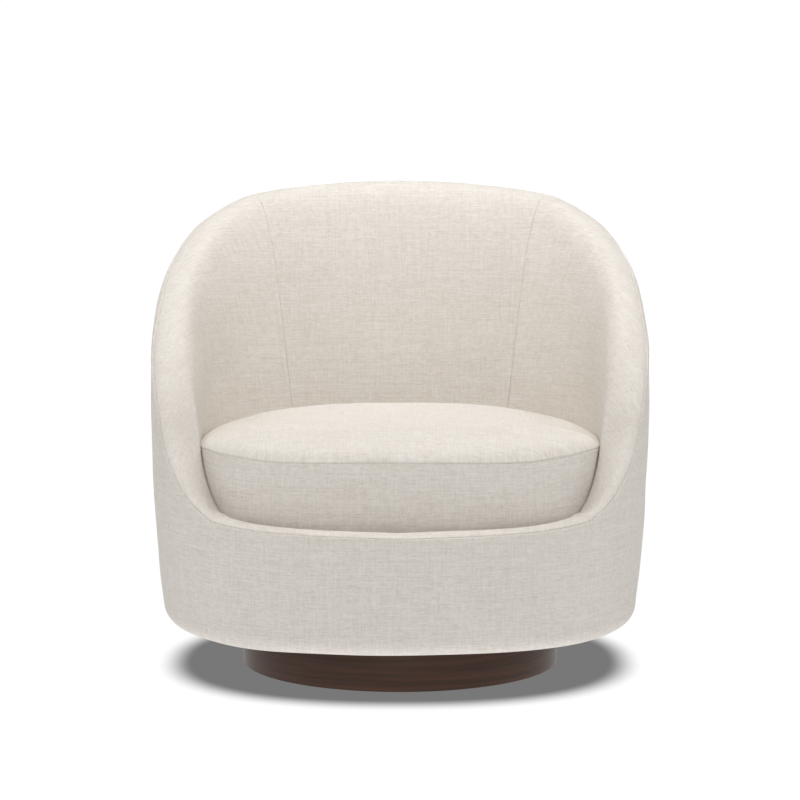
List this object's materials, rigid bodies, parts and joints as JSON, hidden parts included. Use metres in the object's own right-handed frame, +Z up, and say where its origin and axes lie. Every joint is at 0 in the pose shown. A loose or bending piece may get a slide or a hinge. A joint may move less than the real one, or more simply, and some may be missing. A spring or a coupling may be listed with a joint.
{
  "type": "swivel barrel chair",
  "caption": "Upholstered tub armchair with sloping rolled arms, a loose boxed seat cushion and a round swivelling plinth.",
  "frame": {"origin": "on the floor, on the swivel axis, at the middle of the plinth", "axes": "+X to the right of a viewer who faces the chair's front (the chair's left-hand side), +Y towards the back, +Z up; the chair faces -Y"},
  "size_m": [0.7978, 0.7864, 0.7688],
  "materials": {
    "fabric": "off-white woven upholstery cloth with short tan dashes, matte",
    "walnut": "dark stained walnut veneer with a horizontal grain, satin",
    "plywood": "bare birch plywood, sanded",
    "hardboard": "bare bent hardboard, smooth",
    "foam": "pale yellow upholstery foam, open-celled",
    "felt": "grey fibre pad",
    "steel": "zinc-plated steel, satin",
    "glide_plastic": "black moulded plastic, matte",
    "zip_plastic": "cream zip tape with coil teeth, matte",
    "dust_cloth": "black non-woven dust cloth, matte"
  },
  "bodies": {
    "plinth": {"plinth_band": "walnut", "plinth_core": "plywood", "glide_1": "glide_plastic", "glide_2": "glide_plastic", "glide_3": "glide_plastic", "glide_4": "glide_plastic", "swivel_lower_plate": "steel", "plinth_screw_1": "steel", "plinth_screw_2": "steel", "plinth_screw_3": "steel", "plinth_screw_4": "steel"},
    "ball_cage": {"ball_cage": "steel"},
    "seat": {"swivel_upper_plate": "steel", "seat_bolt_1": "steel", "seat_bolt_2": "steel", "seat_bolt_3": "steel", "seat_bolt_4": "steel", "base_board": "plywood", "dust_cover": "dust_cloth", "front_rail": "plywood", "crest_rail": "plywood", "arm_rail_left": "plywood", "arm_rail_right": "plywood", "front_post_left": "plywood", "front_post_right": "plywood", "back_post_left": "plywood", "back_post_right": "plywood", "front_ledger": "plywood", "back_ledger": "plywood", "side_ledger_left": "plywood", "side_ledger_right": "plywood", "outer_panel_back": "hardboard", "outer_panel_left": "hardboard", "outer_panel_right": "hardboard", "inner_liner_back": "hardboard", "inner_liner_left": "hardboard", "inner_liner_right": "hardboard", "zigzag_spring_1": "steel", "zigzag_spring_2": "steel", "zigzag_spring_3": "steel", "zigzag_spring_4": "steel", "clip_strip_front": "steel", "clip_strip_back": "steel", "deck_pad": "felt", "front_lip_foam": "foam", "back_foam": "foam", "arm_foam_left": "foam", "arm_foam_right": "foam", "outer_cover": "fabric", "front_lip_cover": "fabric", "inside_back_cover": "fabric", "inside_arm_cover_left": "fabric", "inside_arm_cover_right": "fabric"},
    "seat_cushion": {"cushion_core": "foam", "cushion_bottom_panel": "fabric", "cushion_boxing": "fabric", "cushion_top_panel": "fabric", "cushion_zip": "zip_plastic", "zip_pull": "steel"}
  },
  "joints": [
    {"name": "seat_swivel", "type": "hinge", "parent": "plinth", "child": "seat", "pos_m": [0, 0, 0.0712], "axis": [0, 0, 1], "continuous": true},
    {"name": "ball_cage_turn", "type": "hinge", "parent": "plinth", "child": "ball_cage", "pos_m": [0, 0, 0.0712], "axis": [0, 0, 1], "continuous": true},
    {"name": "cushion_lift", "type": "slide", "parent": "seat", "child": "seat_cushion", "axis": [0, 0, 1], "range_m": [0, 0.3]}
  ],
  "couplings": [
    {"joint": "ball_cage_turn", "follows": "seat_swivel", "ratio": 0.5}
  ]
}
